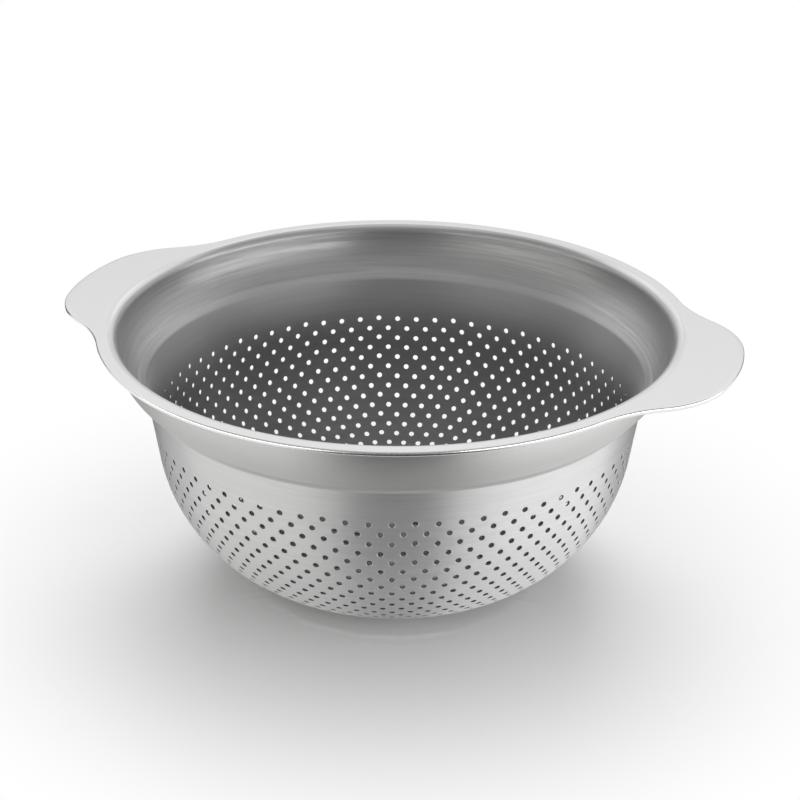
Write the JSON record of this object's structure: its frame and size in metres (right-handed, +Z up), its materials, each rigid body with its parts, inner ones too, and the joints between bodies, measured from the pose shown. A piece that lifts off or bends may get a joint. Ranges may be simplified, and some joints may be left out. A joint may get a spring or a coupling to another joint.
{
  "type": "colander",
  "caption": "Free-standing steel colander: round perforated bowl hung in a flared, flanged rim collar with two flat ears to carry it by.",
  "frame": {"origin": "centre of the flat base, on the surface that it stands on", "axes": "+Z up through the mouth, +X from the bowl's axis towards one ear"},
  "size_m": [0.28, 0.24, 0.108],
  "materials": {
    "collar_steel": "satin, brushed round the rim",
    "bowl_steel": "satin, brushed round the bowl",
    "weld_steel": "dressed weld, duller than the sheet"
  },
  "bodies": {
    "root": {"rim_collar": "collar_steel", "strainer_bowl": "bowl_steel", "seam_weld": "weld_steel"}
  },
  "joints": []
}
